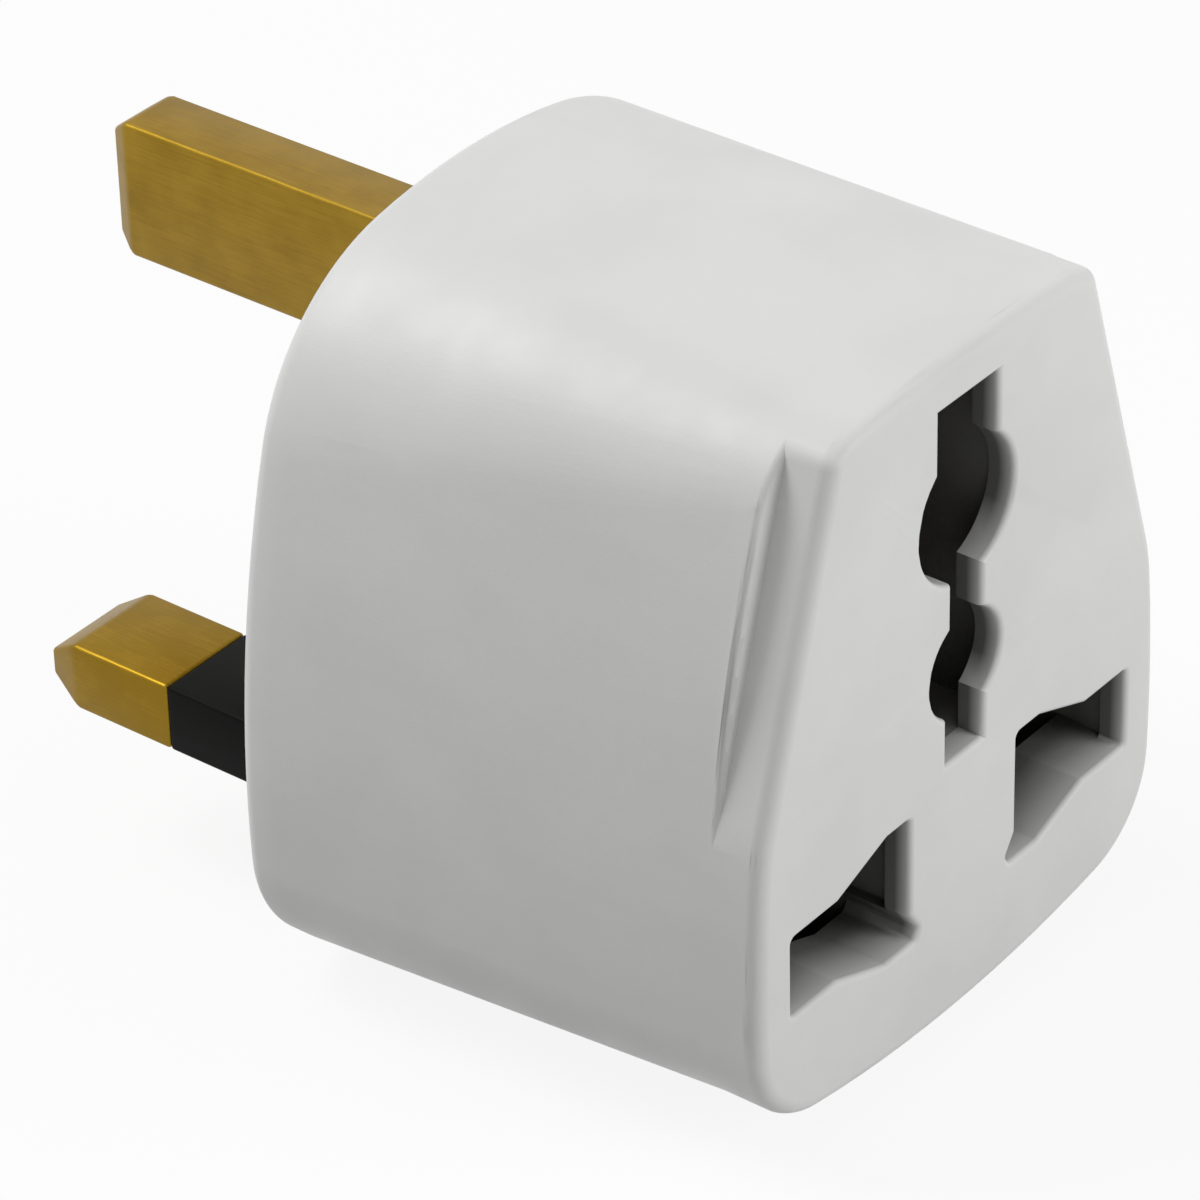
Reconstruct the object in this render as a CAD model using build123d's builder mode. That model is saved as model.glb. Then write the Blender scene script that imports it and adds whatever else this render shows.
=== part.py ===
"""Travel adapter: a three-pin plug at the rear and a socket for several plug patterns at the front.

Sizes are in millimetres. The rear mating face lies on Y = 0, the pins point to +Y and the socket
looks to -Y. Z is up, and the origin is midway between the earth pin and the line of the other two.
"""
from build123d import *
import math
import os
from dataclasses import dataclass, replace

os.makedirs("parts", exist_ok=True)

# Plug pins
pin_pitch = 22.23
earth_pin_width = 4.0
earth_pin_height = 8.0
earth_pin_length = 22.7
earth_tip_length = 1.2
earth_tip_side = 0.6
earth_tip_edge = 0.9
line_pin_width = 6.35
line_pin_height = 4.0
line_pin_length = 18.2
line_tip_length = 2.0
line_tip_side = 0.5
line_tip_edge = 1.25
pin_edge = 0.25
sleeve_length = 9.6
sleeve_wall = 0.6

# How the pins are held
pin_fit = 0.04
flange_margin = 0.9
flange_thickness = 1.5
rivet_radius = 1.0
rivet_head_radius = 1.5
rivet_head_height = 0.7
rivet_fit = 0.04

# Openings in the socket face
socket_rise = 1.2
earth_slot_side = 1.0
earth_slot_end = 0.5
large_hole_radius = 4.0
large_hole_drop = 2.4
small_hole_radius = 3.0
small_hole_lift = 10.7
neck_width = 2.6
foot_width = 3.2
foot_height = 5.3
line_slot_side = 0.8
line_slot_end = 0.3
line_slot_inner = 4.65
line_slot_mouth = 7.8
line_slot_flat = 3.8
line_slot_shelf = 2.0
notch_reach = 0.8
notch_rise = 0.3
notch_drop = 0.9
notch_slope = 0.35
slot_corner = 0.3
slot_round = 0.35

# Front end of the housing, with the socket face
face_rise = 2.75
face_side_margin = 2.83
face_top_margin = 2.6
face_foot_margin = 6.6
face_side_radius = 82.0
face_widest_drop = 0.4
face_top_crown = 0.6
face_foot_crown = 2.0
face_shoulder = 5.5
face_corner = 6.0
face_round = 0.9

# Crescent ledges beside the upper part of the socket face
ledge_margin = 1.95
ledge_lean = 0.3
ledge_shoulder = 1.2
ledge_bend = 12.0
ledge_round = 0.4
ledge_band = 0.8
touch = 0.001

# Housing behind the ledges
body_depth = 28.6
side_draft = 2.17
top_draft = 1.0
foot_draft = 1.25
rear_side_radius = 75.0
rear_widest_rise = 0.8
rear_top_crown = 2.9
rear_foot_crown = 2.5
rear_shoulder = 12.5
rear_corner = 7.8
rear_round = 1.0
rear_band = 2.2

# Walls
wall = 2.4
front_wall = 1.6
sill_depth = 4.5
rim = 1.7
cover_thickness = 3.0
cover_gap = 0.12
rib = 0.8
chamber_gap = 0.3

# Contact strips
sheet = 0.6
bend = 0.9
earth_grip = 3.6
earth_mouth = 6.4
earth_root = 5.6
line_grip = 3.4
line_mouth = 6.6
grip_depth = 13.5
mouth_gap = 6.0
contact_inset = 0.5
blade_width = 2.4
blade_leaf_height = 5.0
blade_leaf_spring = 0.6

# Cover screw
screw_lift = 2.4
screw_head_radius = 2.6
screw_shank_radius = 1.3
screw_length = 12.0
screw_tip = 1.6
screw_fit = 0.05
recess_length = 3.0
recess_width = 0.7
recess_depth = 0.9
boss_wall = 1.9
pilot_extra = 1.5


@dataclass
class Outline:
    """A closed outline with bowed sides, a crowned top and a bowed foot."""

    half_width: float
    side_radius: float
    widest: float
    top: float
    top_crown: float
    shoulder: float
    bottom: float
    foot_crown: float
    corner: float

    def grown(self, by: float) -> "Outline":
        """The same outline moved outward by a distance, or inward by a negative one."""
        return replace(
            self,
            half_width=self.half_width + by,
            side_radius=self.side_radius + by,
            top=self.top + by,
            shoulder=self.shoulder + by,
            bottom=self.bottom - by,
            corner=self.corner + by,
        )

    def toward(self, other: "Outline", share: float) -> "Outline":
        """The outline a share of the way from this one to another."""
        mixed = {
            name: value + (getattr(other, name) - value) * share
            for name, value in vars(self).items()
        }
        return Outline(**mixed)

    def side_at(self, z: float) -> float:
        """How far out the bowed side is at a height."""
        centre = self.half_width - self.side_radius
        return centre + math.sqrt(self.side_radius**2 - (z - self.widest) ** 2)


# Depths behind the rear face, and places in the pin and socket patterns
face_depth = body_depth + face_rise
chamber_end = face_depth - front_wall
base_depth = cover_thickness + flange_thickness
grip_at = face_depth - grip_depth
mouth_at = chamber_end - mouth_gap
line_x = pin_pitch / 2
line_z = -pin_pitch / 2
earth_z = pin_pitch / 2
line_socket_z = line_z + socket_rise
earth_socket_z = earth_z + socket_rise
screw_z = line_z + screw_lift
boss_radius = screw_shank_radius + boss_wall

# Opening sizes that follow the pins
earth_slot_width = earth_pin_width + earth_slot_side
earth_slot_height = earth_pin_height + earth_slot_end
line_slot_height = line_pin_height + line_slot_side
line_slot_outer = line_x + line_pin_width / 2 + line_slot_end
line_root = 2 * (socket_rise + rivet_head_radius + bend) + sheet
blade_edge = line_slot_inner + blade_width

# Chambers that hold the contact strips
line_half = max(line_slot_mouth, line_mouth + sheet, line_root + sheet) / 2 + chamber_gap
earth_half = max(2 * large_hole_radius, earth_mouth + sheet, earth_root + sheet) / 2 + chamber_gap
shelf_z = line_socket_z + line_half
divider_x = line_slot_inner - notch_reach - rib / 2
sill_top = line_socket_z - line_slot_height / 2
sill_height = (line_slot_mouth - line_slot_height) / 2 + rib

# Outlines of the housing, at its front end and at the rear
front_outline = Outline(
    half_width=line_slot_outer + face_side_margin,
    side_radius=face_side_radius,
    widest=line_socket_z - face_widest_drop,
    top=earth_socket_z + earth_slot_height / 2 + face_top_margin,
    top_crown=face_top_crown,
    shoulder=face_shoulder,
    bottom=line_socket_z - line_slot_mouth / 2 - face_foot_margin,
    foot_crown=face_foot_crown,
    corner=face_corner,
)
rear_outline = Outline(
    half_width=front_outline.half_width + side_draft,
    side_radius=rear_side_radius,
    widest=front_outline.widest + rear_widest_rise,
    top=front_outline.top + top_draft,
    top_crown=rear_top_crown,
    shoulder=rear_shoulder,
    bottom=front_outline.bottom - foot_draft,
    foot_crown=rear_foot_crown,
    corner=rear_corner,
)


def depth(value: float) -> Plane:
    """A sketch plane parallel to the rear face, a distance in toward the socket."""
    return Plane.XZ.offset(value)


def body_outline(at: float) -> Outline:
    """The housing's outline at a depth between its two straight bands."""
    return rear_outline.toward(front_outline, (at - rear_band) / (body_depth - ledge_band - rear_band))


def draw(outline: Outline) -> None:
    """Draws an outline as a face on the current sketch."""
    z_top = outline.top - outline.top_crown
    z_foot = outline.bottom + outline.foot_crown
    x_top = outline.side_at(z_top)
    x_foot = outline.side_at(z_foot)
    with BuildLine() as loop:
        ThreePointArc((-x_top, z_top), (0, outline.top), (x_top, z_top))
        ThreePointArc((x_top, z_top), (outline.half_width, outline.widest), (x_foot, z_foot))
        ThreePointArc((x_foot, z_foot), (0, outline.bottom), (-x_foot, z_foot))
        ThreePointArc((-x_foot, z_foot), (-outline.half_width, outline.widest), (-x_top, z_top))
    make_face(loop.edges())
    fillet(vertices().sort_by(Axis.Y)[-2:], outline.shoulder)
    fillet(vertices().sort_by(Axis.Y)[:2], outline.corner)


def ledge_wall(z: float) -> float:
    """How far out the wall between the socket face and a ledge is at a height."""
    return line_slot_outer + ledge_margin - ledge_lean * z


def draw_face() -> None:
    """Draws the socket face: the front outline, cut off by the wall of each ledge."""
    reach = front_outline.top + front_outline.half_width
    draw(front_outline)
    Polygon(
        (-ledge_wall(-reach), -reach),
        (ledge_wall(-reach), -reach),
        (ledge_wall(reach), reach),
        (-ledge_wall(reach), reach),
        align=None,
        mode=Mode.INTERSECT,
    )
    fillet(wall_ends().sort_by(Axis.Y)[-2:], ledge_shoulder)
    fillet(wall_ends().sort_by(Axis.Y)[:2], ledge_bend)


def wall_ends() -> ShapeList:
    """The corners of the current sketch that lie on the wall of a ledge."""
    return vertices().filter_by(lambda corner: abs(abs(corner.X) - ledge_wall(corner.Y)) < touch)


def draw_earth_opening() -> None:
    """Draws the tall earth opening: a slot, two round holes, the neck between them and a foot."""
    small_hole_z = line_socket_z + small_hole_lift
    with Locations((0, earth_socket_z)):
        Rectangle(earth_slot_width, earth_slot_height)
    with Locations((0, earth_socket_z - large_hole_drop)):
        Circle(large_hole_radius)
    with Locations((0, small_hole_z)):
        Circle(small_hole_radius)
        Rectangle(neck_width, earth_socket_z - small_hole_z, align=(Align.CENTER, Align.MIN))
        Rectangle(foot_width, foot_height, align=(Align.CENTER, Align.MAX))


def draw_line_opening(side: int) -> None:
    """Draws one lower opening: a flat slot that widens toward the middle, with a notch at its foot."""
    half = line_slot_height / 2
    mouth = line_slot_mouth / 2
    flat_end = line_slot_outer - line_slot_flat
    shelf_end = line_slot_inner + line_slot_shelf
    notch_x = line_slot_inner - notch_reach
    points = [
        (line_slot_outer, half),
        (flat_end, half),
        (shelf_end, mouth),
        (line_slot_inner, mouth),
        (line_slot_inner, notch_rise - half),
        (notch_x, -half - notch_drop),
        (notch_x + notch_slope, -mouth),
        (shelf_end, -mouth),
        (flat_end, -half),
        (line_slot_outer, -half),
    ]
    with BuildLine() as loop:
        Polyline([(side * x, line_socket_z + z) for x, z in points], close=True)
    with BuildSketch(mode=Mode.PRIVATE) as opening:
        make_face(loop.edges())
        fillet(opening.vertices(), slot_corner)
    add(opening.sketch)


def draw_openings() -> None:
    """Draws all three openings of the socket face."""
    draw_earth_opening()
    draw_line_opening(-1)
    draw_line_opening(1)


def draw_strip(points: list[tuple[float, float]]) -> None:
    """Draws the edge view of a folded strip along its middle line, with rounded bends."""
    with BuildLine() as path:
        FilletPolyline(*points, radius=bend)
    trace(path.line, line_width=sheet)


def clip_points(mouth: float, grip: float, root: float) -> list[tuple[float, float]]:
    """The middle line of a two-leaf clip, as distances across it and depths behind the rear face."""
    leaf = [(mouth / 2, mouth_at), ((grip + sheet) / 2, grip_at), (root / 2, base_depth + sheet / 2)]
    return [(-across, at) for across, at in leaf] + leaf[::-1]


def pierce_for_rivet(x: float, z: float) -> None:
    """Cuts the hole in a contact strip that its pin is riveted through."""
    with BuildSketch(depth(base_depth)) as hole:
        with Locations((x, z)):
            Circle(rivet_radius + rivet_fit)
    extrude(hole.sketch, amount=sheet, mode=Mode.SUBTRACT)


def add_prism(profile: Sketch, x: float, z: float, start: float, end: float) -> None:
    """Adds a profile, centred at a place in the pin pattern, from one depth to another."""
    with BuildSketch(depth(start)) as section:
        with Locations((x, z)):
            add(profile)
    extrude(section.sketch, amount=end - start)


def pin_section(width: float, height: float) -> Sketch:
    """A pin's cross-section, with its long edges eased."""
    with BuildSketch(mode=Mode.PRIVATE) as section:
        RectangleRounded(width, height, pin_edge)
    return section.sketch


def add_pin(x: float, z: float, width: float, height: float, length: float) -> None:
    """Adds a pin up to its tip: the shaft, the flange behind the cover, a rivet and its peened head."""
    with BuildSketch(mode=Mode.PRIVATE) as flange:
        Rectangle(width + 2 * flange_margin, height + 2 * flange_margin)
    with BuildSketch(mode=Mode.PRIVATE) as rivet:
        Circle(rivet_radius)
    with BuildSketch(mode=Mode.PRIVATE) as head:
        Circle(rivet_head_radius)
    add_prism(pin_section(width, height), x, z, cover_thickness, -length)
    add_prism(flange.sketch, x, z, cover_thickness, base_depth)
    add_prism(rivet.sketch, x, z, base_depth, base_depth + sheet)
    add_prism(head.sketch, x, z, base_depth + sheet, base_depth + sheet + rivet_head_height)


# The space inside the housing, less the ribs, the dividers, the screw boss and the sill in it
with BuildPart() as chamber:
    with BuildSketch(depth(cover_thickness)):
        draw(body_outline(cover_thickness).grown(-wall))
    with BuildSketch(depth(chamber_end)):
        draw(body_outline(chamber_end).grown(-wall))
    loft()
    with BuildSketch(depth(cover_thickness)):
        span = 2 * rear_outline.half_width
        with Locations((0, shelf_z)):
            Rectangle(span, rib, align=(Align.CENTER, Align.MIN))
        with Locations((-divider_x, shelf_z), (divider_x, shelf_z)):
            Rectangle(rib, span, align=(Align.CENTER, Align.MAX))
        with Locations((-earth_half - rib / 2, shelf_z), (earth_half + rib / 2, shelf_z)):
            Rectangle(rib, span, align=(Align.CENTER, Align.MIN))
        with Locations((0, screw_z)):
            Circle(boss_radius)
    extrude(amount=face_depth, mode=Mode.SUBTRACT)
    with BuildSketch(depth(face_depth - sill_depth)):
        with Locations((0, sill_top)):
            Rectangle(span, sill_height, align=(Align.CENTER, Align.MAX))
    extrude(amount=sill_depth, mode=Mode.SUBTRACT)

# Block with the socket face, whose edges are rounded before it joins the housing
with BuildPart() as face_block:
    with BuildSketch(depth(body_depth - ledge_band)):
        draw_face()
    extrude(amount=face_rise + ledge_band)
    fillet(faces().sort_by(Axis.Y)[0].edges(), face_round)
    with BuildSketch(depth(face_depth)):
        draw_openings()
    extrude(amount=-face_rise - ledge_band, mode=Mode.SUBTRACT)
    rims = faces().sort_by(Axis.Y)[0].inner_wires()
    fillet([edge for wire in rims for edge in wire.edges()], slot_round)

# Housing
with BuildPart() as housing:
    with BuildSketch(depth(0)):
        draw(rear_outline)
    extrude(amount=rear_band)
    fillet(faces().sort_by(Axis.Y)[-1].edges(), rear_round)
    with BuildSketch(depth(body_depth)):
        draw(front_outline)
    extrude(amount=-ledge_band)
    fillet(faces().sort_by(Axis.Y)[0].edges(), ledge_round)
    with BuildSketch(depth(rear_band)):
        draw(rear_outline)
    with BuildSketch(depth(body_depth - ledge_band)):
        draw(front_outline)
    loft()
    add(face_block.part)
    with BuildSketch(depth(0)):
        draw(rear_outline.grown(-rim))
    extrude(amount=cover_thickness, mode=Mode.SUBTRACT)
    add(chamber.part, mode=Mode.SUBTRACT)
    with BuildSketch(depth(face_depth)):
        draw_openings()
    extrude(amount=-sill_depth, mode=Mode.SUBTRACT)
    with BuildSketch(depth(cover_thickness)):
        with Locations((0, screw_z)):
            Circle(screw_shank_radius + screw_fit)
    extrude(amount=screw_length - cover_thickness + pilot_extra, mode=Mode.SUBTRACT)
housing.part.label = "housing"
export_step(housing.part, "parts/housing.step")

# Rear cover, set into the housing's rim, with the pins passing through it
with BuildPart() as rear_cover:
    with BuildSketch(depth(0)):
        draw(rear_outline.grown(-rim - cover_gap))
        with Locations((0, earth_z)):
            Rectangle(earth_pin_width + 2 * pin_fit, earth_pin_height + 2 * pin_fit, mode=Mode.SUBTRACT)
        with Locations((-line_x, line_z), (line_x, line_z)):
            Rectangle(line_pin_width + 2 * pin_fit, line_pin_height + 2 * pin_fit, mode=Mode.SUBTRACT)
    extrude(amount=cover_thickness)
    with Locations(Plane(origin=(0, 0, screw_z), x_dir=(1, 0, 0), z_dir=(0, 1, 0))):
        CounterSinkHole(screw_shank_radius + screw_fit, screw_head_radius + screw_fit, cover_thickness)
rear_cover.part.label = "rear_cover"
export_step(rear_cover.part, "parts/rear_cover.step")

# Countersunk cover screw with a cross recess
with BuildPart() as cover_screw:
    with BuildSketch(Plane.YZ):
        head_end = screw_shank_radius - screw_head_radius
        with BuildLine():
            Polyline(
                (0, screw_z),
                (0, screw_z + screw_head_radius),
                (head_end, screw_z + screw_shank_radius),
                (screw_tip - screw_length, screw_z + screw_shank_radius),
                (-screw_length, screw_z),
                close=True,
            )
        make_face()
    revolve(axis=Axis((0, 0, screw_z), (0, 1, 0)))
    with BuildSketch(depth(0)):
        with Locations((0, screw_z)):
            Rectangle(recess_length, recess_width)
            Rectangle(recess_width, recess_length)
    extrude(amount=recess_depth, mode=Mode.SUBTRACT)
cover_screw.part.label = "cover_screw"
export_step(cover_screw.part, "parts/cover_screw.step")

# Earth pin, the longest of the three
with BuildPart() as earth_pin:
    add_pin(0, earth_z, earth_pin_width, earth_pin_height, earth_pin_length - earth_tip_length)
    with BuildSketch(depth(earth_tip_length - earth_pin_length)):
        with Locations((0, earth_z)):
            RectangleRounded(earth_pin_width, earth_pin_height, pin_edge)
    with BuildSketch(depth(-earth_pin_length)):
        with Locations((0, earth_z)):
            tip_width = earth_pin_width - 2 * earth_tip_side
            tip_height = earth_pin_height - 2 * earth_tip_edge
            RectangleRounded(tip_width, tip_height, pin_edge)
    loft()
earth_pin.part.label = "earth_pin"
export_step(earth_pin.part, "parts/earth_pin.step")

# Earth contact: two tall leaves folded from one strip
with BuildPart() as earth_contact:
    leaf_foot = line_socket_z + small_hole_lift - small_hole_radius
    leaf_top = earth_socket_z + earth_slot_height / 2 - contact_inset
    with BuildSketch(Plane.XY.offset(leaf_foot)):
        draw_strip([(across, -at) for across, at in clip_points(earth_mouth, earth_grip, earth_root)])
    extrude(amount=leaf_top - leaf_foot)
    pierce_for_rivet(0, earth_z)
earth_contact.part.label = "earth_contact"
export_step(earth_contact.part, "parts/earth_contact.step")

# The two lower pins, each with its insulating sleeve and its contact
for name, side in (("neutral", -1), ("live", 1)):
    pin_x = side * line_x

    with BuildPart() as sleeve:
        with BuildSketch(depth(cover_thickness)):
            with Locations((pin_x, line_z)):
                RectangleRounded(line_pin_width, line_pin_height, pin_edge)
                core_width = line_pin_width - 2 * sleeve_wall
                core_height = line_pin_height - 2 * sleeve_wall
                RectangleRounded(core_width, core_height, pin_edge, mode=Mode.SUBTRACT)
        extrude(amount=-cover_thickness - sleeve_length)
    sleeve.part.label = f"{name}_sleeve"
    export_step(sleeve.part, f"parts/{name}_sleeve.step")

    with BuildPart() as line_pin:
        add_pin(pin_x, line_z, line_pin_width, line_pin_height, line_pin_length - line_tip_length)
        with BuildSketch(depth(line_tip_length - line_pin_length)):
            with Locations((pin_x, line_z)):
                RectangleRounded(line_pin_width, line_pin_height, pin_edge)
        with BuildSketch(depth(-line_pin_length)):
            with Locations((pin_x, line_z)):
                tip_width = line_pin_width - 2 * line_tip_side
                tip_height = line_pin_height - 2 * line_tip_edge
                RectangleRounded(tip_width, tip_height, pin_edge)
        loft()
        add(sleeve.part, mode=Mode.SUBTRACT)
    line_pin.part.label = f"{name}_pin"
    export_step(line_pin.part, f"parts/{name}_pin.step")

    with BuildPart() as line_contact:
        leaf_edges = sorted((side * blade_edge, side * (line_slot_outer - contact_inset)))
        with BuildSketch(Plane.YZ.offset(leaf_edges[0])):
            points = clip_points(line_mouth, line_grip, line_root)
            draw_strip([(-at, line_socket_z + across) for across, at in points])
        extrude(amount=leaf_edges[1] - leaf_edges[0])
        with BuildSketch(Plane.XY.offset(line_socket_z - blade_leaf_height / 2)):
            blade_leaf = [
                (blade_edge + sheet, base_depth + sheet / 2),
                (line_slot_inner, base_depth + sheet / 2),
                (line_slot_inner + blade_leaf_spring, grip_at),
                (line_slot_inner, mouth_at),
            ]
            draw_strip([(side * across, -at) for across, at in blade_leaf])
        extrude(amount=blade_leaf_height)
        pierce_for_rivet(pin_x, line_z)
    line_contact.part.label = f"{name}_contact"
    export_step(line_contact.part, f"parts/{name}_contact.step")
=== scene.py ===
"""Studio scene of a travel adapter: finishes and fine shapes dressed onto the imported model.

Lengths are in metres. The rear mating face lies on Y = 0, the pins point to +Y and Z is up.
"""

import logging
import math
from dataclasses import dataclass
from enum import Enum

import bmesh
import bpy
from mathutils import Matrix, Quaternion, Vector


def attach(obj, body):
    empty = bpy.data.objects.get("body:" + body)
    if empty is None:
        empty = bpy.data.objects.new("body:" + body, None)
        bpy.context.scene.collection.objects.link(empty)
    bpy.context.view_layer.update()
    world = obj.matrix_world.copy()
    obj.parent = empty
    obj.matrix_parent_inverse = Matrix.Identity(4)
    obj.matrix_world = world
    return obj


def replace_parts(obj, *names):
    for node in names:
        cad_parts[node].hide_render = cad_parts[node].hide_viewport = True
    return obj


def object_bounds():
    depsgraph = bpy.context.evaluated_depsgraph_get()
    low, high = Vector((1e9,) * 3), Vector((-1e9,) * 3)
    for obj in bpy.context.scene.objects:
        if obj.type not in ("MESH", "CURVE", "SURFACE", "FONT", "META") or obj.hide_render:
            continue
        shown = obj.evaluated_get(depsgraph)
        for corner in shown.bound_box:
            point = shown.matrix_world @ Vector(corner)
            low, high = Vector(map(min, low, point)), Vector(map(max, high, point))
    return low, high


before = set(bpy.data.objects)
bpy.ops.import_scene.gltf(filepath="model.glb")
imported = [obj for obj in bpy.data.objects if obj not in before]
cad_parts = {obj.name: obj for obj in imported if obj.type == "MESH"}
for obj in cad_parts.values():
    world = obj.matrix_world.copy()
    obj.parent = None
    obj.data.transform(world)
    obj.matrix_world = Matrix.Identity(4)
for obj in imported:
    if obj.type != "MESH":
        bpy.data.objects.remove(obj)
cad_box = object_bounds()

MM = 0.001
BODY = "root"
PHOTO_SIDE_PX = 1200
MERGE_DISTANCE = 0.001 * MM
Colour = tuple[float, float, float]
Triple = tuple[float, float, float]
Range = tuple[float, float]
Point = tuple[float, float]
FULL: Range = (0.0, 1.0)
REVERSED: Range = (1.0, 0.0)
NOISE_MIDDLE: Range = (0.3, 0.7)
NOISE_CORE: Range = (0.35, 0.65)
# The sockets of a Mix node that mixes colours: the share and the two colours, and the result.
MIX_INPUTS = (0, 6, 7)
MIX_RESULT = 2

log = logging.getLogger("travel_adapter")


class Slot(Enum):
    """The record's material slots."""

    BODY = "body_plastic"
    COVER = "cover_plastic"
    PIN = "pin_brass"
    SLEEVE = "sleeve_plastic"
    CONTACT = "contact_brass"
    SCREW = "screw_steel"


class Graph:
    """A material's node tree, with short calls that add nodes and join them."""

    def __init__(self, name: str) -> None:
        """Starts a material that holds one Principled shader."""
        self.material = bpy.data.materials.new(name)
        self.material.use_nodes = True
        self.nodes = self.material.node_tree.nodes
        self.links = self.material.node_tree.links
        self.shader = self.nodes["Principled BSDF"]

    def add(self, kind: str, **inputs: object) -> bpy.types.Node:
        """Adds a node and sets or joins its inputs.

        Args:
            kind: The node's type name, without the word ShaderNode.
            inputs: Input names, with underscores for spaces, and a value or a socket for each.

        Returns:
            The new node.
        """
        node = self.nodes.new(f"ShaderNode{kind}")
        for name, value in inputs.items():
            self.set(node, name.replace("_", " "), value)
        return node

    def set(self, node: bpy.types.Node, name: str, value: object) -> None:
        """Joins a socket to a node's input, or sets the input's own value."""
        if isinstance(value, bpy.types.NodeSocket):
            self.links.new(value, node.inputs[name])
        else:
            node.inputs[name].default_value = value

    def place(self, stretch: Triple = (1.0, 1.0, 1.0)) -> bpy.types.NodeSocket:
        """The point on the surface in the object's own frame, stretched along each axis."""
        coordinates = self.nodes.new("ShaderNodeTexCoord")
        return self.add("Mapping", Vector=coordinates.outputs["Object"], Scale=stretch).outputs["Vector"]

    def noise(
        self, size: float, detail: float = 2.0, stretch: Triple = (1.0, 1.0, 1.0)
    ) -> bpy.types.NodeSocket:
        """Cloudy noise over the surface.

        Args:
            size: How far apart its patches lie.
            detail: How many finer layers it has.
            stretch: How much closer the patches lie along each axis.

        Returns:
            The noise's value, which lies about 0.5.
        """
        node = self.add("TexNoise", Vector=self.place(stretch), Scale=1.0 / size, Detail=detail)
        return node.outputs["Fac"]

    def spread(
        self, value: bpy.types.NodeSocket, source: Range, target: Range = FULL
    ) -> bpy.types.NodeSocket:
        """Maps one range of a value to another and stops at its ends."""
        node = self.add(
            "MapRange",
            Value=value,
            From_Min=source[0],
            From_Max=source[1],
            To_Min=target[0],
            To_Max=target[1],
        )
        return node.outputs["Result"]

    def math(self, operation: str, *values: float | bpy.types.NodeSocket) -> bpy.types.NodeSocket:
        """The result of a Math node with the given operation and inputs."""
        node = self.nodes.new("ShaderNodeMath")
        node.operation = operation
        for socket, value in zip(node.inputs, values):
            if isinstance(value, bpy.types.NodeSocket):
                self.links.new(value, socket)
            else:
                socket.default_value = value
        return node.outputs["Value"]

    def larger(self, first: bpy.types.NodeSocket, second: bpy.types.NodeSocket) -> bpy.types.NodeSocket:
        """The larger of two values."""
        return self.math("MAXIMUM", first, second)

    def blend(
        self, share: bpy.types.NodeSocket, first: Colour | bpy.types.NodeSocket, second: Colour
    ) -> bpy.types.NodeSocket:
        """A colour that goes from the first to the second as the share goes from 0 to 1."""
        node = self.nodes.new("ShaderNodeMix")
        node.data_type = "RGBA"
        for number, value in zip(MIX_INPUTS, (share, first, second)):
            socket = node.inputs[number]
            if isinstance(value, bpy.types.NodeSocket):
                self.links.new(value, socket)
            else:
                socket.default_value = (*value, 1.0)
        return node.outputs[MIX_RESULT]

    def bump(self, height: bpy.types.NodeSocket, depth: float) -> bpy.types.NodeSocket:
        """A surface normal tilted by a height field of the given depth."""
        return self.add("Bump", Height=height, Distance=depth).outputs["Normal"]

    def finish(self, **inputs: object) -> bpy.types.Material:
        """Sets the shader's inputs.

        Args:
            inputs: As for add.

        Returns:
            The finished material.
        """
        for name, value in inputs.items():
            self.set(self.shader, name.replace("_", " "), value)
        return self.material


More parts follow.
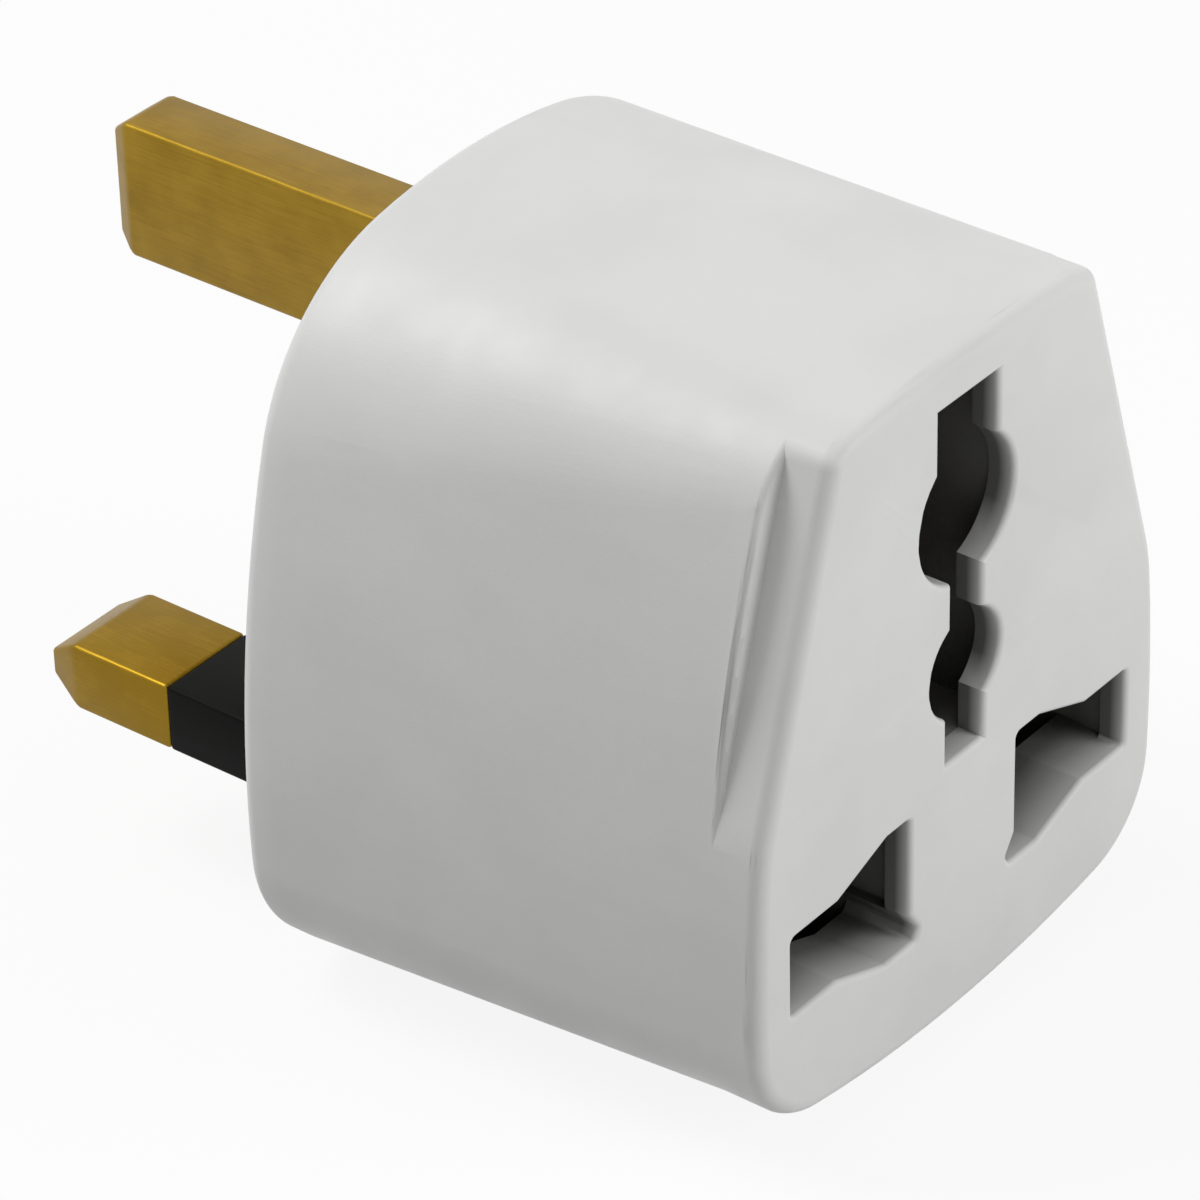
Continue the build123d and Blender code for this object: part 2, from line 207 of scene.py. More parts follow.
@dataclass(frozen=True)
class MouldedPlastic:
    """Off-white moulded plastic with a fine spark-eroded grain, with painted shade in its deep recesses
    and on the walls of its openings.
    """

    name: str
    light: Colour
    shade: Colour
    # The dark colour of the painted shade in the recesses and on the openings' walls.
    painted_shade_colour: Colour
    roughness: Range
    grain: float = 0.16 * MM
    grain_depth: float = 0.006 * MM
    grain_detail: float = 1.0
    cloud: float = 9.0 * MM
    cloud_detail: float = 3.0
    sheen: float = 3.0 * MM
    sheen_detail: float = 4.0
    refraction: float = 1.5
    specular: float = 0.35
    # Painted shade from ambient occlusion: how far it looks, and the occlusion values over which the
    # shade comes in.
    recess: float = 16.0 * MM
    painted_shade_range: Range = (0.38, 0.14)
    # Where painted shade lies on the openings' walls and sills behind the socket face, and how strong it
    # is.
    front: float = -31.35 * MM
    wall_range: Range = (0.3 * MM, 1.0 * MM)
    sill_range: Range = (0.5 * MM, 3.5 * MM)
    wall_share: float = 0.82
    upright_range: Range = (0.4, 0.85)
    area_side: Range = (15.0 * MM, 15.3 * MM)
    area_lean: float = 0.3
    area_top: Range = (17.4 * MM, 17.7 * MM)
    area_foot: Range = (-17.0 * MM, -16.7 * MM)
    area_end: Range = (12.0 * MM, 14.0 * MM)

    def make(self) -> bpy.types.Material:
        """Makes the material."""
        graph = Graph(self.name)
        cloud = graph.spread(graph.noise(self.cloud, self.cloud_detail), NOISE_CORE)
        sheen = graph.noise(self.sheen, self.sheen_detail)
        outside = graph.blend(cloud, self.light, self.shade)
        # Painted shade: the base colour goes towards the dark colour where ambient occlusion finds a
        # recess, or where the wall mask marks an opening's wall.
        opening = graph.add("AmbientOcclusion", Distance=self.recess)
        opening.only_local = True
        occlusion_shade = graph.spread(opening.outputs["AO"], self.painted_shade_range)
        painted_shade_share = graph.larger(occlusion_shade, self.painted_wall_shade(graph))
        grain = graph.noise(self.grain, self.grain_detail)
        return graph.finish(
            Base_Color=graph.blend(painted_shade_share, outside, self.painted_shade_colour),
            Roughness=graph.spread(sheen, NOISE_MIDDLE, self.roughness),
            Normal=graph.bump(grain, self.grain_depth),
            IOR=self.refraction,
            Specular_IOR_Level=self.specular,
        )

    def painted_wall_shade(self, graph: Graph) -> bpy.types.NodeSocket:
        """Painted shade on the openings' walls, as a share of the dark colour. It grows behind the socket
        face, more slowly on the sills.
        """
        place = graph.add("SeparateXYZ", Vector=graph.place())
        across = graph.math("ABSOLUTE", place.outputs["X"])
        slanted = graph.math("MULTIPLY_ADD", place.outputs["Z"], self.area_lean, across)
        surface = graph.nodes.new("ShaderNodeNewGeometry")
        facing = graph.add("SeparateXYZ", Vector=surface.outputs["Normal"])
        depth = graph.math("SUBTRACT", place.outputs["Y"], self.front)
        upright = graph.spread(facing.outputs["Z"], self.upright_range, REVERSED)
        wall = graph.spread(depth, self.wall_range, (0.0, self.wall_share))
        sill = graph.spread(depth, self.sill_range, (0.0, self.wall_share))
        shade = graph.larger(graph.math("MULTIPLY", wall, upright), sill)
        for share in (
            graph.spread(across, self.area_side, REVERSED),
            graph.spread(slanted, self.area_side, REVERSED),
            graph.spread(place.outputs["Z"], self.area_top, REVERSED),
            graph.spread(place.outputs["Z"], self.area_foot),
            graph.spread(depth, self.area_end, REVERSED),
        ):
            shade = graph.math("MULTIPLY", shade, share)
        return shade


@dataclass(frozen=True)
class DrawnBrass:
    """Dull brass with drawing lines along Y, patchy tarnished tone, painted shade on the lower pins and
    brighter worn edges.
    """

    name: str
    bright: Colour
    dull: Colour
    worn: Colour
    roughness: Range
    line: float = 0.12 * MM
    line_detail: float = 2.0
    line_stretch: float = 0.04
    line_share: Range = (-0.4, 0.4)
    line_depth: float = 0.01 * MM
    patch: float = 2.2 * MM
    patch_detail: float = 4.0
    patch_share: Range = (0.1, 0.9)
    # Painted shade: below this middle height the colour darkens, by up to the next share.
    middle_range: Range = (-1.0 * MM, 1.0 * MM)
    lower_pin_shade: float = 0.4
    worn_width: float = 0.18 * MM
    worn_range: Range = (0.99, 0.9)
    worn_share: Range = (0.0, 0.6)

    def make(self) -> bpy.types.Material:
        """Makes the material."""
        graph = Graph(self.name)
        lines = graph.noise(self.line, self.line_detail, (1.0, self.line_stretch, 1.0))
        patches = graph.noise(self.patch, self.patch_detail)
        streaks = graph.spread(lines, NOISE_MIDDLE, self.line_share)
        clouds = graph.spread(patches, NOISE_MIDDLE, self.patch_share)
        # Painted shade: the colour is darker below the middle height, on the lower pins and contacts.
        place = graph.add("SeparateXYZ", Vector=graph.place())
        lower_shade = graph.spread(place.outputs["Z"], self.middle_range, (-self.lower_pin_shade, 0.0))
        mixed = graph.math("ADD", graph.math("ADD", streaks, clouds), lower_shade)
        mottled_and_shaded = graph.blend(mixed, self.dull, self.bright)
        rounded = graph.add("Bevel", Radius=self.worn_width)
        facing = graph.nodes.new("ShaderNodeVectorMath")
        facing.operation = "DOT_PRODUCT"
        graph.links.new(rounded.outputs["Normal"], facing.inputs[0])
        surface = graph.nodes.new("ShaderNodeNewGeometry")
        graph.links.new(surface.outputs["Normal"], facing.inputs[1])
        edge = graph.spread(facing.outputs["Value"], self.worn_range, self.worn_share)
        return graph.finish(
            Base_Color=graph.blend(edge, mottled_and_shaded, self.worn),
            Metallic=1.0,
            Roughness=graph.spread(lines, NOISE_MIDDLE, self.roughness),
            Normal=graph.bump(lines, self.line_depth),
        )


@dataclass(frozen=True)
class SatinBlack:
    """Black insulating plastic with a soft sheen and faint rub marks along the pin."""

    name: str
    deep: Colour
    rubbed: Colour
    roughness: Range
    rub: float = 0.5 * MM
    rub_detail: float = 3.0
    rub_stretch: float = 0.12
    rub_range: Range = (0.4, 0.75)
    grain: float = 0.1 * MM
    grain_detail: float = 1.0
    grain_depth: float = 0.004 * MM
    specular: float = 0.05

    def make(self) -> bpy.types.Material:
        """Makes the material."""
        graph = Graph(self.name)
        rub = graph.noise(self.rub, self.rub_detail, (1.0, self.rub_stretch, 1.0))
        grain = graph.noise(self.grain, self.grain_detail)
        return graph.finish(
            Base_Color=graph.blend(graph.spread(rub, self.rub_range), self.deep, self.rubbed),
            Roughness=graph.spread(rub, NOISE_MIDDLE, self.roughness),
            Normal=graph.bump(grain, self.grain_depth),
            Specular_IOR_Level=self.specular,
        )


@dataclass(frozen=True)
class PlatedSteel:
    """Zinc-plated steel with fine turning marks and a cloudy plating."""

    name: str
    bright: Colour
    dull: Colour
    roughness: Range
    cloud: float = 0.8 * MM
    cloud_detail: float = 3.0
    mark: float = 0.06 * MM
    mark_detail: float = 1.0
    mark_depth: float = 0.004 * MM

    def make(self) -> bpy.types.Material:
        """Makes the material."""
        graph = Graph(self.name)
        cloud = graph.spread(graph.noise(self.cloud, self.cloud_detail), NOISE_CORE)
        marks = graph.noise(self.mark, self.mark_detail)
        return graph.finish(
            Base_Color=graph.blend(cloud, self.dull, self.bright),
            Metallic=1.0,
            Roughness=graph.spread(cloud, FULL, self.roughness),
            Normal=graph.bump(marks, self.mark_depth),
        )


def add_piece(
    name: str,
    mesh: bmesh.types.BMesh,
    finish: bpy.types.Material,
    crease: float = math.radians(40),
) -> bpy.types.Object:
    """Turns a finished bmesh into a smooth-shaded piece that rides with the adapter.

    Args:
        name: The piece's name.
        mesh: Its shape, in place. It is freed.
        finish: The material.
        crease: The angle past which an edge shades as sharp.

    Returns:
        The new object.
    """
    bmesh.ops.recalc_face_normals(mesh, faces=mesh.faces)
    data = bpy.data.meshes.new(name)
    mesh.to_mesh(data)
    mesh.free()
    data.set_sharp_from_angle(angle=crease)
    data.materials.append(finish)
    piece = bpy.data.objects.new(name, data)
    bpy.context.scene.collection.objects.link(piece)
    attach(piece, BODY)
    log.info("%s: %d faces", name, len(data.polygons))
    return piece


def dress(node: str, finish: bpy.types.Material) -> None:
    """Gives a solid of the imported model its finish."""
    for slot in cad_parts[node].material_slots:
        slot.material = finish
    log.info("%s: %s", node, finish.name)


def start_section(
    width: float, height: float, place: Vector
) -> tuple[bmesh.types.BMesh, bmesh.types.BMFace]:
    """Starts a shape from one rectangle that lies across Y.

    Args:
        width: Its size along X.
        height: Its size along Z.
        place: Its centre.

    Returns:
        The bmesh and the rectangle's face.
    """
    mesh = bmesh.new()
    lie_across = Matrix.Translation(place) @ Matrix.Rotation(math.radians(-90), 4, "X")
    bmesh.ops.create_grid(mesh, x_segments=1, y_segments=1, size=0.5, matrix=Matrix.Identity(4))
    bmesh.ops.scale(mesh, vec=(width, height, 1.0), verts=mesh.verts)
    bmesh.ops.transform(mesh, matrix=lie_across, verts=mesh.verts)
    return mesh, mesh.faces[:][0]


def round_edges(
    mesh: bmesh.types.BMesh, edges: list[bmesh.types.BMEdge], width: float, segments: int
) -> None:
    """Rounds the given edges of a shape."""
    bmesh.ops.bevel(
        mesh,
        geom=edges,
        offset=width,
        offset_type="OFFSET",
        segments=segments,
        profile=0.5,
        affect="EDGES",
        material=-1,
        clamp_overlap=True,
    )


def spin_outline(
    mesh: bmesh.types.BMesh, outline: list[Point], centre: Vector, steps: int
) -> None:
    """Spins an outline into a closed round solid.

    Args:
        mesh: The shape that the solid is added to.
        outline: The radius and the place along Y of each point, from the axis and back to it.
        centre: A point on the axis, which lies along Y.
        steps: How many facets go round.
    """
    verts = [mesh.verts.new((centre.x + radius, along, centre.z)) for radius, along in outline]
    edges = [mesh.edges.new(pair) for pair in zip(verts, verts[1:])]
    bmesh.ops.spin(
        mesh,
        geom=verts + edges,
        cent=centre,
        axis=(0.0, 1.0, 0.0),
        angle=math.tau,
        steps=steps,
        use_merge=True,
    )
    bmesh.ops.remove_doubles(mesh, verts=mesh.verts, dist=MERGE_DISTANCE)
    bmesh.ops.recalc_face_normals(mesh, faces=mesh.faces)


def sharp_edges(mesh: bmesh.types.BMesh, past: float) -> list[bmesh.types.BMEdge]:
    """The edges of a closed shape that turn by more than an angle."""
    mesh.normal_update()
    return [edge for edge in mesh.edges if edge.is_manifold and edge.calc_face_angle() > past]


@dataclass
class Shell:
    """A moulded solid whose own mesh is settled and merged, so that its small roundings shade evenly."""

    node: str
    slot: Slot
    weld: float = 0.0001 * MM
    crease: float = math.radians(32)
    gain: float = 0.00001
    sliver: float = 1e-10
    seam: float = math.radians(15)
    layer: str = "facing"

    def build(self, finish: bpy.types.Material) -> bpy.types.Object:
        """Builds the shell in place of its solid.

        Args:
            finish: The moulded plastic.

        Returns:
            The new piece.
        """
        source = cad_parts[self.node].data
        mesh = bmesh.new()
        mesh.from_mesh(source)
        self.settle(mesh, source)
        bmesh.ops.remove_doubles(mesh, verts=mesh.verts, dist=self.weld)
        self.even_out(mesh)
        piece = add_piece(f"{self.node}_shell", mesh, finish, self.crease)
        kept = piece.data.attributes[self.layer]
        piece.data.normals_split_custom_set([corner.vector for corner in kept.data])
        piece.data.attributes.remove(kept)
        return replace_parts(piece, self.node)

    def settle(self, mesh: bmesh.types.BMesh, source: bpy.types.Mesh) -> None:
        """Turns the diagonals within each surface until they join the corners that face most alike.

        Args:
            mesh: An unmerged copy of the source.
            source: The solid's mesh, whose corners know which way the surface faces.
        """
        mesh.verts.ensure_lookup_table()
        facing: dict[bmesh.types.BMVert, Vector] = {}
        for loop, normal in zip(source.loops, source.corner_normals):
            facing[mesh.verts[loop.vertex_index]] = normal.vector.copy()
        total = 0
        turned = 1
        while turned:
            turned = 0
            for edge in [edge for edge in mesh.edges if edge.is_manifold]:
                if edge.is_valid and self.is_better_turned(edge, facing):
                    bmesh.utils.edge_rotate(edge, False)
                    turned += 1
            total += turned
        log.info("%s: %d diagonals turned", self.node, total)
        kept = mesh.loops.layers.float_vector.new(self.layer)
        for face in mesh.faces:
            face.smooth = True
            for loop in face.loops:
                loop[kept] = facing[loop.vert]

    def even_out(self, mesh: bmesh.types.BMesh) -> None:
        """Averages the directions that meet at a point and differ by little, to hide faint seams."""
        kept = mesh.loops.layers.float_vector[self.layer]
        for vert in mesh.verts:
            corners = [(loop, loop[kept].copy()) for loop in vert.link_loops]
            for loop, facing in corners:
                alike = [other for _, other in corners if other.dot(facing) > math.cos(self.seam)]
                loop[kept] = sum(alike, Vector()).normalized()

    def is_better_turned(
        self, edge: bmesh.types.BMEdge, facing: dict[bmesh.types.BMVert, Vector]
    ) -> bool:
        """Whether the other diagonal of an edge's two triangles joins corners that face more alike.

        Args:
            edge: The diagonal, with one triangle on each side.
            facing: Which way the surface faces at each corner.

        Returns:
            True where the turned diagonal is better and makes no sliver.
        """
        first, second = edge.link_loops
        start, end = first.vert, second.vert
        left, right = first.link_loop_prev.vert, second.link_loop_prev.vert
        if facing[left].dot(facing[right]) < facing[start].dot(facing[end]) + self.gain:
            return False
        if any(right in other.verts for other in left.link_edges):
            return False
        outward = facing[start] + facing[end] + facing[left] + facing[right]
        halves = ((start, right, left), (right, end, left))
        return all(
            (two.co - one.co).cross(three.co - one.co).dot(outward) > self.sliver
            for one, two, three in halves
        )


@dataclass
class Station:
    """One cross-section of a pin: how far along Y it lies, and its size."""

    along: float
    width: float
    height: float


@dataclass
class Pin:
    """A brass plug pin with its flange, its rivet and a tapered tip."""

    node: str
    x: float
    z: float
    width: float
    height: float
    length: float
    tip_length: float
    tip_side: float
    tip_edge: float
    sleeve_length: float = 0.0
    sleeve_wall: float = 0.0
    cover: float = 3.0 * MM
    flange: float = 1.5 * MM
    flange_margin: float = 0.9 * MM
    rivet_radius: float = 1.0 * MM
    rivet_root: float = 0.4 * MM
    rivet_steps: int = 48
    head_radius: float = 1.5 * MM
    head_height: float = 0.7 * MM
    sheet: float = 0.6 * MM
    edge: float = 0.22 * MM
    edge_segments: int = 4
    edge_past: float = math.radians(8)

    def stations(self) -> list[Station]:
        """The pin's cross-sections in order, from the flange's hidden face to the tip."""
        flange = (self.width + 2 * self.flange_margin, self.height + 2 * self.flange_margin)
        shaft = (self.width, self.height)
        neck = (self.width - 2 * self.sleeve_wall, self.height - 2 * self.sleeve_wall)
        tip = (self.width - 2 * self.tip_side, self.height - 2 * self.tip_edge)
        found = [Station(-self.cover - self.flange, *flange), Station(-self.cover, *flange)]
        if self.sleeve_length:
            found += [Station(-self.cover, *neck), Station(self.sleeve_length, *neck)]
            found += [Station(self.sleeve_length, *shaft)]
        else:
            found += [Station(-self.cover, *shaft)]
        return found + [Station(self.length - self.tip_length, *shaft), Station(self.length, *tip)]

    def build(self, finish: bpy.types.Material) -> bpy.types.Object:
        """Builds the pin in place of its solid.

        Args:
            finish: The brass.

        Returns:
            The new piece.
        """
        first, *others = self.stations()
        mesh, cap = start_section(first.width, first.height, Vector((self.x, first.along, self.z)))
        before = first
        for station in others:
            cap = self.grow(mesh, cap, before, station)
            before = station
        self.close_start(mesh)
        round_edges(mesh, sharp_edges(mesh, self.edge_past), self.edge, self.edge_segments)
        self.add_rivet(mesh)
        piece = add_piece(f"{self.node}_blade", mesh, finish)
        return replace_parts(piece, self.node)

    def grow(
        self, mesh: bmesh.types.BMesh, cap: bmesh.types.BMFace, before: Station, after: Station
    ) -> bmesh.types.BMFace:
        """Extrudes the open end to the next cross-section.

        Args:
            mesh: The pin so far.
            cap: The face at its open end.
            before: The cross-section that the face has.
            after: The one that it gets.

        Returns:
            The face at the new end.
        """
        cap = bmesh.ops.extrude_discrete_faces(mesh, faces=[cap])["faces"][0]
        ends = list(cap.verts)
        scale = (after.width / before.width, 1.0, after.height / before.height)
        about = Matrix.Translation(-Vector((self.x, 0.0, self.z)))
        bmesh.ops.scale(mesh, vec=scale, space=about, verts=ends)
        bmesh.ops.translate(mesh, vec=(0.0, after.along - before.along, 0.0), verts=ends)
        return cap

    def close_start(self, mesh: bmesh.types.BMesh) -> None:
        """Closes the flange's hidden end."""
        bmesh.ops.holes_fill(mesh, edges=mesh.edges, sides=4)

    def add_rivet(self, mesh: bmesh.types.BMesh) -> None:
        """Adds the rivet and its peened head behind the flange."""
        flange = -self.cover - self.flange
        sheet = flange - self.sheet
        outline = [
            (0.0, flange + self.rivet_root),
            (self.rivet_radius, flange + self.rivet_root),
            (self.rivet_radius, sheet),
            (self.head_radius, sheet),
            (self.head_radius, sheet - self.head_height),
            (0.0, sheet - self.head_height),
        ]
        spin_outline(mesh, outline, Vector((self.x, 0.0, self.z)), self.rivet_steps)


@dataclass
class Sleeve:
    """The black insulating sleeve moulded round a lower pin."""

    node: str
    x: float
    z: float
    width: float
    height: float
    length: float
    wall: float
    cover: float = 3.0 * MM
    edge: float = 0.22 * MM
    edge_segments: int = 4
    tolerance: float = 0.01 * MM

    def build(self, finish: bpy.types.Material) -> bpy.types.Object:
        """Builds the sleeve in place of its solid.

        Args:
            finish: The black plastic.

        Returns:
            The new piece.
        """
        mesh, face = start_section(self.width, self.height, Vector((self.x, -self.cover, self.z)))
        bmesh.ops.inset_region(
            mesh, faces=[face], thickness=self.wall, use_boundary=True, use_even_offset=True
        )
        bmesh.ops.delete(mesh, geom=[face], context="FACES_ONLY")
        ring = mesh.faces[:]
        grown = bmesh.ops.extrude_face_region(mesh, geom=ring, use_keep_orig=True)["geom"]
        ends = [part for part in grown if isinstance(part, bmesh.types.BMVert)]
        bmesh.ops.translate(mesh, vec=(0.0, self.cover + self.length, 0.0), verts=ends)
        bmesh.ops.recalc_face_normals(mesh, faces=mesh.faces)
        outer = [edge for edge in mesh.edges if self.is_outer(edge)]
        round_edges(mesh, outer, self.edge, self.edge_segments)
        piece = add_piece(f"{self.node}_skin", mesh, finish)
        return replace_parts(piece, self.node)

    def is_outer(self, edge: bmesh.types.BMEdge) -> bool:
        """Whether an edge lies on the sleeve's outside, either along it or around its free end."""
        across = all(
            math.isclose(abs(vert.co.x - self.x), self.width / 2, abs_tol=self.tolerance)
            for vert in edge.verts
        )
        end = all(vert.co.y > 0 for vert in edge.verts)
        along = abs(edge.verts[0].co.y - edge.verts[1].co.y) > self.cover
        return across and (along or end)


@dataclass
class CoverScrew:
    """A countersunk screw with a tapered cross recess and a plain pointed shank."""

    node: str = "cover_screw"
    z: float = -8.715 * MM
    head_radius: float = 2.6 * MM
    shank_radius: float = 1.3 * MM
    length: float = 12.0 * MM
    tip: float = 1.6 * MM
    rim: float = 0.12 * MM
    turns: int = 64
    recess_length: float = 3.0 * MM
    recess_width: float = 0.7 * MM
    recess_depth: float = 0.9 * MM
    recess_taper: float = 0.55

    def build(self, finish: bpy.types.Material) -> bpy.types.Object:
        """Builds the screw in place of its solid.

        Args:
            finish: The plated steel.

        Returns:
            The new piece.
        """
        blank = self.as_object("screw_blank", self.turn())
        bars = [self.as_object(f"recess_bar_{quarter}", self.bar(quarter)) for quarter in range(2)]
        for bar in bars:
            cut = blank.modifiers.new(bar.name, "BOOLEAN")
            cut.object = bar
            cut.operation = "DIFFERENCE"
            cut.solver = "EXACT"
        bpy.context.view_layer.update()
        evaluated = blank.evaluated_get(bpy.context.evaluated_depsgraph_get())
        drawn = bpy.data.meshes.new_from_object(evaluated)
        mesh = bmesh.new()
        mesh.from_mesh(drawn)
        for spare in (blank, *bars):
            bpy.data.objects.remove(spare)
        bpy.data.meshes.remove(drawn)
        piece = add_piece("cover_screw_turned", mesh, finish)
        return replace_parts(piece, self.node)

    def turn(self) -> bmesh.types.BMesh:
        """The screw's blank, spun from its outline."""
        mesh = bmesh.new()
        head_end = self.shank_radius - self.head_radius
        outline = [
            (0.0, 0.0),
            (self.head_radius - self.rim, 0.0),
            (self.head_radius, -self.rim),
            (self.shank_radius, head_end - self.rim),
            (self.shank_radius, self.tip - self.length),
            (0.0, -self.length),
        ]
        spin_outline(mesh, outline, Vector((0.0, 0.0, self.z)), self.turns)
        return mesh

    def bar(self, quarter: int) -> bmesh.types.BMesh:
        """One of the two tapered bars that cut the recess, turned by so many quarters."""
        mesh = bmesh.new()
        corners = bmesh.ops.create_cube(mesh, size=1.0)["verts"]
        size = (self.recess_length, 2 * self.recess_depth, self.recess_width)
        bmesh.ops.scale(mesh, vec=size, verts=corners)
        inner = [vert for vert in corners if vert.co.y < 0]
        bmesh.ops.scale(mesh, vec=(self.recess_taper, 1.0, self.recess_taper), verts=inner)
        turn = Matrix.Rotation(math.radians(90 * quarter), 4, "Y")
        place = Matrix.Translation((0.0, 0.0, self.z))
        bmesh.ops.transform(mesh, matrix=place @ turn, verts=corners)
        return mesh

    def as_object(self, name: str, mesh: bmesh.types.BMesh) -> bpy.types.Object:
        """Puts a bmesh into the scene as a working object and frees it."""
        data = bpy.data.meshes.new(name)
        mesh.to_mesh(data)
        mesh.free()
        made = bpy.data.objects.new(name, data)
        bpy.context.scene.collection.objects.link(made)
        bpy.context.view_layer.update()
        return made


@dataclass(frozen=True)
class Viewpoint:
    """The camera's place and lens, as fitted to the photograph."""

    azimuth: float = math.radians(-51.337)
    elevation: float = math.radians(33.361)
    roll: float = math.radians(-1.440)
    distance: float = 339.194 * MM
    target: Triple = (10.246 * MM, 0.0, -13.018 * MM)
    focal_px: float = 6230.63
    sensor: float = 36.0
    nearest: float = 10.0 * MM

    def add(self) -> None:
        """Adds the camera and makes it the scene's own."""
        camera = bpy.data.cameras.new("photo_camera")
        camera.sensor_width = self.sensor
        camera.lens = self.focal_px / PHOTO_SIDE_PX * self.sensor
        camera.clip_start = self.nearest
        back = Vector((
            math.sin(self.azimuth) * math.cos(self.elevation),
            -math.cos(self.azimuth) * math.cos(self.elevation),
            math.sin(self.elevation),
        ))
        holder = bpy.data.objects.new("photo_camera", camera)
        holder.rotation_mode = "QUATERNION"
        roll = Quaternion((0.0, 0.0, 1.0), self.roll)
        holder.rotation_quaternion = back.to_track_quat("Z", "Y") @ roll
        holder.location = Vector(self.target) + back * self.distance
        bpy.context.scene.collection.objects.link(holder)
        bpy.context.scene.camera = holder


@dataclass(frozen=True)
class Softbox:
    """A square soft light that points at the adapter."""

    name: str
    place: Triple
    side: float
    power: float

    def add(self, aim: Vector) -> None:
        """Adds the light, turned to a point."""
        light = bpy.data.lights.new(self.name, "AREA")
        light.size = self.side
        light.energy = self.power
        holder = bpy.data.objects.new(self.name, light)
        holder.location = self.place
        holder.rotation_euler = (Vector(self.place) - aim).to_track_quat("Z", "Y").to_euler()
        bpy.context.scene.collection.objects.link(holder)


@dataclass(frozen=True)
class Studio:
    """A white floor and world with soft lights."""

    ambient: float = 0.332
    floor_side: float = 4.0
    floor_colour: Colour = (0.5, 0.5, 0.5)
    floor_white: Colour = (0.9, 0.9, 0.9)
    floor_glow: float = 0.89
    floor_roughness: float = 0.9
    lights: tuple[Softbox, ...] = (
        Softbox("overhead_light", (-0.11, 0.235, 0.366), 0.22, 1.2),
        Softbox("front_light", (0.074, -0.22, 0.07), 0.11, 0.212),
    )

    def seen(self, tree: bpy.types.NodeTree) -> bpy.types.NodeSocket:
        """1 for what the camera sees directly, in a mirror or through glass, and 0 for other light."""
        path = tree.nodes.new("ShaderNodeLightPath")
        value = path.outputs["Is Camera Ray"]
        for name in ("Is Glossy Ray", "Is Transmission Ray"):
            either = tree.nodes.new("ShaderNodeMath")
            either.operation = "MAXIMUM"
            tree.links.new(value, either.inputs[0])
            tree.links.new(path.outputs[name], either.inputs[1])
            value = either.outputs["Value"]
        return value

    def set_world(self) -> None:
        """Makes a world that shows white and lights at the ambient level."""
        world = bpy.data.worlds.new("studio_world")
        world.use_nodes = True
        bpy.context.scene.world = world
        tree = world.node_tree
        strength = tree.nodes.new("ShaderNodeMapRange")
        tree.links.new(self.seen(tree), strength.inputs["Value"])
        strength.inputs["To Min"].default_value = self.ambient
        tree.nodes["Background"].inputs["Color"].default_value = (1.0, 1.0, 1.0, 1.0)
        tree.links.new(strength.outputs["Result"], tree.nodes["Background"].inputs["Strength"])

    def floor_finish(self) -> bpy.types.Material:
        """A pale matt floor that shows white but keeps the adapter's shadow."""
        graph = Graph("studio_floor")
        tree = graph.material.node_tree
        seen = self.seen(tree)
        shown = graph.blend(seen, self.floor_colour, self.floor_white)
        graph.finish(Base_Color=shown, Roughness=self.floor_roughness, Specular_IOR_Level=0.0)
        glow = graph.add("Emission", Color=(1.0, 1.0, 1.0, 1.0), Strength=1.0)
        share = graph.math("MULTIPLY", seen, self.floor_glow)
        mix = tree.nodes.new("ShaderNodeMixShader")
        tree.links.new(share, mix.inputs["Fac"])
        tree.links.new(graph.shader.outputs["BSDF"], mix.inputs[1])
        tree.links.new(glow.outputs["Emission"], mix.inputs[2])
        tree.links.new(mix.outputs["Shader"], tree.nodes["Material Output"].inputs["Surface"])
        return graph.material

    def add_floor(self, height: float) -> None:
        """Lays the floor at a height."""
        mesh = bmesh.new()
        bmesh.ops.create_grid(mesh, x_segments=1, y_segments=1, size=self.floor_side / 2)
        bmesh.ops.translate(mesh, vec=(0.0, 0.0, height), verts=mesh.verts)
        data = bpy.data.meshes.new("floor")
        mesh.to_mesh(data)
        mesh.free()
        data.materials.append(self.floor_finish())
        floor = bpy.data.objects.new("floor", data)
        bpy.context.scene.collection.objects.link(floor)

    def build(self) -> None:
        """Sets the floor under the adapter and the lights around it."""
        low, high = cad_box
        bpy.context.scene.view_settings.view_transform = "Standard"
        self.set_world()
        self.add_floor(low.z)
        for light in self.lights:
            light.add((low + high) / 2)


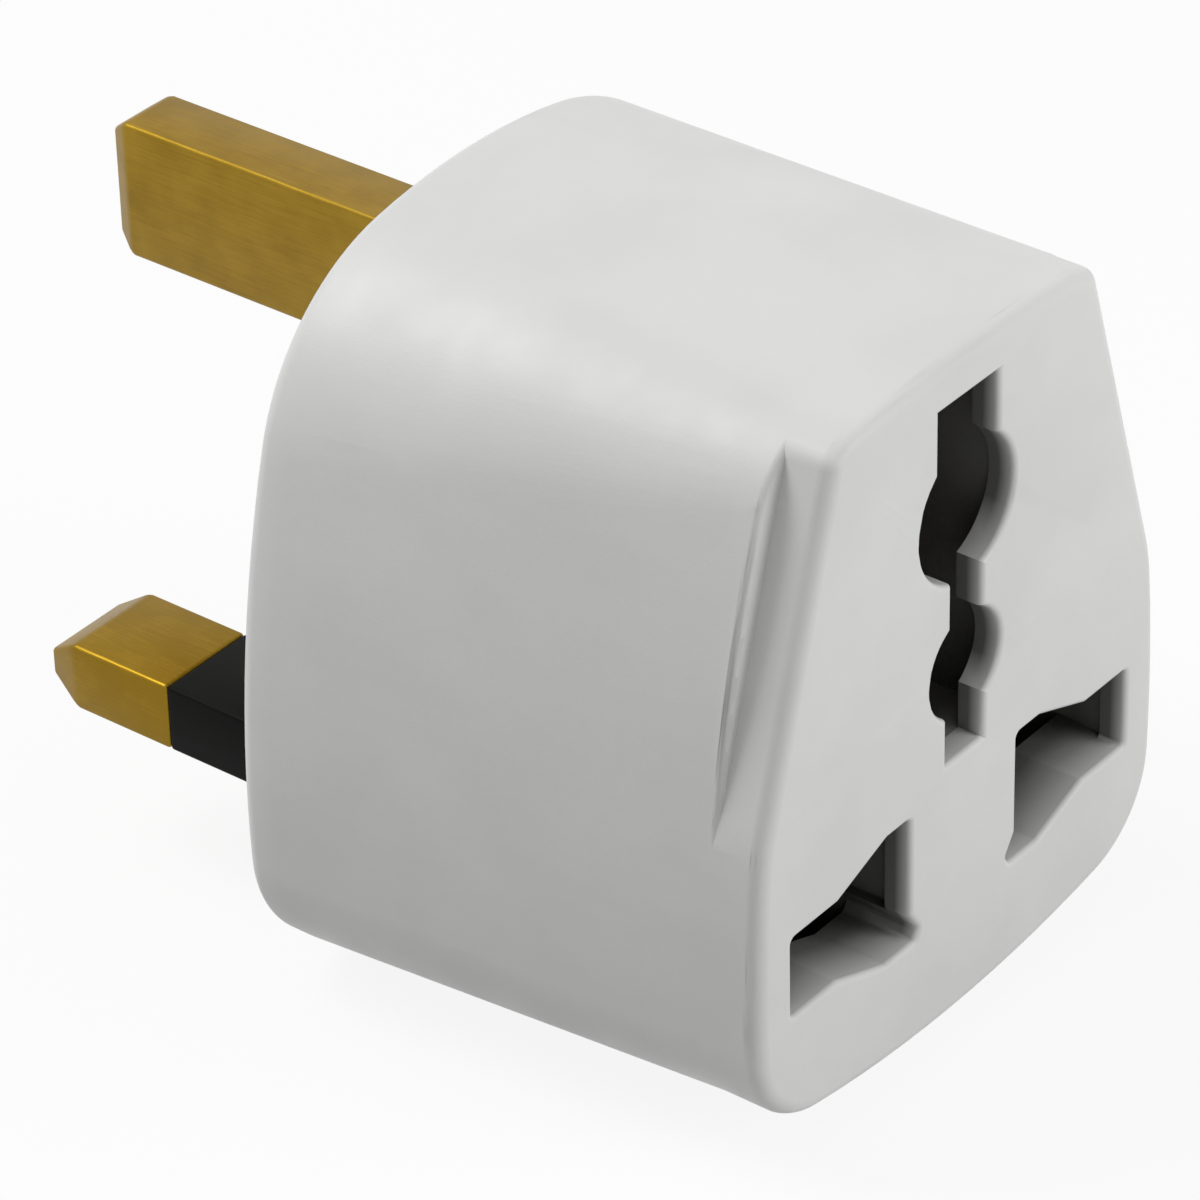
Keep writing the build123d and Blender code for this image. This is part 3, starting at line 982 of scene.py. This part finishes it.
@dataclass
class PlugEnd:
    """The three pins at the rear, with the sleeves of the lower two."""

    pitch: float = 22.23 * MM
    line_width: float = 6.35 * MM
    line_height: float = 4.0 * MM
    line_length: float = 18.2 * MM
    sleeve_length: float = 9.6 * MM
    sleeve_wall: float = 0.6 * MM

    def build(self, brass: bpy.types.Material, black: bpy.types.Material) -> None:
        """Builds the pins and sleeves from the brass and the black plastic."""
        half = self.pitch / 2
        Pin(
            node="earth_pin",
            x=0.0,
            z=half,
            width=4.0 * MM,
            height=8.0 * MM,
            length=22.7 * MM,
            tip_length=1.2 * MM,
            tip_side=0.6 * MM,
            tip_edge=0.9 * MM,
        ).build(brass)
        for name, x in (("neutral", -half), ("live", half)):
            Pin(
                node=f"{name}_pin",
                x=x,
                z=-half,
                width=self.line_width,
                height=self.line_height,
                length=self.line_length,
                tip_length=2.0 * MM,
                tip_side=0.5 * MM,
                tip_edge=1.25 * MM,
                sleeve_length=self.sleeve_length,
                sleeve_wall=self.sleeve_wall,
            ).build(brass)
            Sleeve(
                node=f"{name}_sleeve",
                x=x,
                z=-half,
                width=self.line_width,
                height=self.line_height,
                length=self.sleeve_length,
                wall=self.sleeve_wall,
            ).build(black)


def main() -> None:
    """Dresses the solids, builds the fine pieces and sets up the studio."""
    logging.basicConfig(level=logging.INFO, format="%(name)s %(message)s")
    Viewpoint().add()
    body = MouldedPlastic(
        "body_plastic",
        light=(0.80, 0.80, 0.79),
        shade=(0.76, 0.76, 0.752),
        # The dark colour is painted shade for the recesses and the openings' walls.
        painted_shade_colour=(0.05, 0.05, 0.046),
        roughness=(0.38, 0.5),
    )
    cover = MouldedPlastic(
        "cover_plastic",
        light=(0.78, 0.78, 0.77),
        shade=(0.74, 0.74, 0.732),
        # The dark colour is painted shade for the recesses and the openings' walls.
        painted_shade_colour=(0.05, 0.05, 0.046),
        roughness=(0.45, 0.6),
    )
    brass = DrawnBrass(
        "pin_brass",
        bright=(0.325, 0.2, 0.019),
        dull=(0.25, 0.15, 0.011),
        worn=(0.42, 0.28, 0.07),
        roughness=(0.34, 0.46),
    )
    strip = DrawnBrass(
        "contact_brass",
        bright=(0.4, 0.27, 0.09),
        dull=(0.28, 0.18, 0.05),
        worn=(0.5, 0.35, 0.13),
        roughness=(0.28, 0.4),
    )
    black = SatinBlack(
        "sleeve_plastic",
        deep=(0.0025, 0.0025, 0.0022),
        rubbed=(0.006, 0.006, 0.005),
        roughness=(0.38, 0.52),
    )
    steel = PlatedSteel(
        "screw_steel",
        bright=(0.62, 0.62, 0.6),
        dull=(0.45, 0.45, 0.44),
        roughness=(0.25, 0.4),
    )

    Shell("housing", Slot.BODY).build(body.make())
    Shell("rear_cover", Slot.COVER).build(cover.make())
    contact_finish = strip.make()
    for node in ("earth_contact", "live_contact", "neutral_contact"):
        dress(node, contact_finish)
    PlugEnd().build(brass.make(), black.make())
    CoverScrew().build(steel.make())
    Studio().build()


if __name__ == "__main__":
    main()
